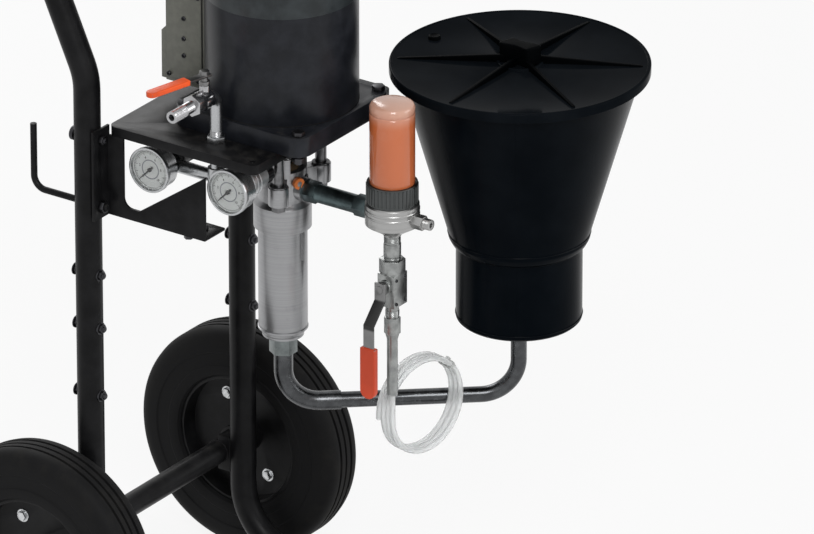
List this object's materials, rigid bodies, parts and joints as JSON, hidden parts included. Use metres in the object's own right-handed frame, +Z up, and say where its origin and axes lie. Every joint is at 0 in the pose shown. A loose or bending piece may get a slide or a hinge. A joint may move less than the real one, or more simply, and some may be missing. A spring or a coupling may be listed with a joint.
{
  "type": "airless paint sprayer",
  "caption": "Air-driven airless paint sprayer on a two-wheeled cart, with piston pump, gravity hopper on a bent steel pipe, paint filter, bleed valve and air regulators.",
  "frame": {"origin": "on the ground, at the middle of the floor area that the whole machine covers", "axes": "+Z up, -Y the front where the feet reach forward and the filter hangs, +X the side that the hopper leans to"},
  "size_m": [0.7248, 0.8888, 1.2491],
  "materials": {
    "powder_coat_black": "satin powder coat",
    "grip_rubber": "matt",
    "zinc_steel": "dulled zinc plate",
    "dark_fastener": "blackened",
    "motor_charcoal": "satin",
    "bronze": "machined",
    "valve_cast": "satin cast",
    "spool_steel": "ground",
    "rod_steel": "ground and plated",
    "tie_steel": "oiled",
    "pump_steel": "satin plated",
    "packing_leather": "oiled",
    "nut_steel": "satin",
    "pipe_steel": "polished dark",
    "hopper_black": "semi-gloss",
    "lid_black": "semi-gloss",
    "sieve_steel": "perforated sheet",
    "bowl_orange": "gloss",
    "ring_grey": "blackened",
    "filter_mesh": "woven",
    "manifold_silver": "satin plated",
    "arm_steel": "dark plated",
    "bleed_steel": "satin plated",
    "clear_hose": "milky clear",
    "gauge_silver": "polished",
    "regulator_black": "moulded",
    "regulator_silver": "die cast",
    "air_bar_alu": "bright",
    "air_valve_nickel": "nickel plate",
    "tyre_rubber": "matt",
    "rim_paint": "satin",
    "piston_alu": "machined",
    "lever_orange": "dipped sleeve",
    "needle_black": "matt"
  },
  "bodies": {
    "frame": {"side_tube_left": "powder_coat_black", "side_tube_right": "powder_coat_black", "handle_bow": "powder_coat_black", "foot_bar": "powder_coat_black", "axle_tube": "powder_coat_black", "hose_hooks": "powder_coat_black", "shelf": "powder_coat_black", "side_plates": "powder_coat_black", "handle_grips": "grip_rubber", "rubber_feet": "grip_rubber", "axle_shaft": "zinc_steel", "bolts": "dark_fastener", "motor_base": "motor_charcoal", "motor_cylinder": "motor_charcoal", "motor_cap": "motor_charcoal", "rod_bushing": "bronze", "air_valve_block": "valve_cast", "tie_rods": "tie_steel", "pump_head": "pump_steel", "pump_cylinder": "pump_steel", "inlet_housing": "pump_steel", "throat_packing": "packing_leather", "union_nut": "nut_steel", "hopper_pipe": "pipe_steel", "hopper_bowl": "hopper_black", "hopper_cone": "hopper_black", "strainer": "sieve_steel", "filter_bowl": "bowl_orange", "ring_nut": "ring_grey", "filter_element": "filter_mesh", "filter_manifold": "manifold_silver", "outlet_nipple": "manifold_silver", "pressure_arm": "arm_steel", "bleed_valve": "bleed_steel", "drain_tube": "bleed_steel", "return_hose_drop": "clear_hose", "return_hose_coil": "clear_hose", "gauge_cases": "gauge_silver", "regulator_black": "regulator_black", "regulator_silver": "regulator_silver", "air_bar": "air_bar_alu", "air_valve_body": "air_valve_nickel"},
    "wheel_left": {"tyre_left": "tyre_rubber", "rim_left": "rim_paint"},
    "wheel_right": {"tyre_right": "tyre_rubber", "rim_right": "rim_paint"},
    "pump_stroke": {"air_piston": "piston_alu", "piston_rod": "rod_steel", "rod_coupling": "tie_steel", "pump_rod": "rod_steel"},
    "piston_ball": {"piston_ball": "rod_steel"},
    "inlet_ball": {"inlet_ball": "rod_steel"},
    "air_lever": {"air_lever": "lever_orange"},
    "bleed_lever": {"bleed_lever": "lever_orange"},
    "knob_black": {"knob_black": "regulator_black"},
    "knob_silver": {"knob_silver": "regulator_black"},
    "needle_1": {"needle_1": "needle_black"},
    "needle_2": {"needle_2": "needle_black"},
    "lid": {"hopper_lid": "lid_black"},
    "spool": {"valve_spool": "spool_steel"}
  },
  "joints": [
    {"name": "wheel_left_spin", "type": "hinge", "parent": "frame", "child": "wheel_left", "pos_m": [-0.31392, 0.26442, 0.18], "axis": [1, 0, 0], "continuous": true},
    {"name": "wheel_right_spin", "type": "hinge", "parent": "frame", "child": "wheel_right", "pos_m": [0.20608, 0.26442, 0.18], "axis": [1, 0, 0], "continuous": true},
    {"name": "pump_stroke_slide", "type": "slide", "parent": "frame", "child": "pump_stroke", "axis": [0, 0, 1], "range_m": [0, 0.08]},
    {"name": "piston_ball_lift", "type": "slide", "parent": "pump_stroke", "child": "piston_ball", "axis": [0, 0, 1], "range_m": [0, 0.004]},
    {"name": "inlet_ball_lift", "type": "slide", "parent": "frame", "child": "inlet_ball", "axis": [0, 0, 1], "range_m": [0, 0.004]},
    {"name": "spool_shift", "type": "slide", "parent": "frame", "child": "spool", "axis": [0, 0, 1], "range_m": [0, 0.012]},
    {"name": "lid_lift", "type": "slide", "parent": "frame", "child": "lid", "axis": [0, 0, 1], "range_m": [0, 0.2]},
    {"name": "air_lever_turn", "type": "hinge", "parent": "frame", "child": "air_lever", "pos_m": [-0.21192, 0.03992, 0.98], "axis": [0, 0, 1], "range_deg": [0, 90]},
    {"name": "bleed_lever_turn", "type": "hinge", "parent": "frame", "child": "bleed_lever", "pos_m": [-0.05392, -0.18108, 0.646], "axis": [-1, 0, 0], "range_deg": [0, 90]},
    {"name": "knob_black_turn", "type": "hinge", "parent": "frame", "child": "knob_black", "pos_m": [-0.13392, 0.13442, 0.806], "axis": [1, 0, 0], "range_deg": [0, 720]},
    {"name": "knob_silver_turn", "type": "hinge", "parent": "frame", "child": "knob_silver", "pos_m": [-0.13392, -0.00558, 0.806], "axis": [1, 0, 0], "range_deg": [0, 720]},
    {"name": "needle_1_sweep", "type": "hinge", "parent": "frame", "child": "needle_1", "pos_m": [-0.21992, 0.13442, 0.806], "axis": [1, 0, 0], "range_deg": [0, 270], "stiffness_Nm_per_rad": 0.0004},
    {"name": "needle_2_sweep", "type": "hinge", "parent": "frame", "child": "needle_2", "pos_m": [-0.21992, -0.00558, 0.806], "axis": [1, 0, 0], "range_deg": [0, 270], "stiffness_Nm_per_rad": 0.0004}
  ]
}
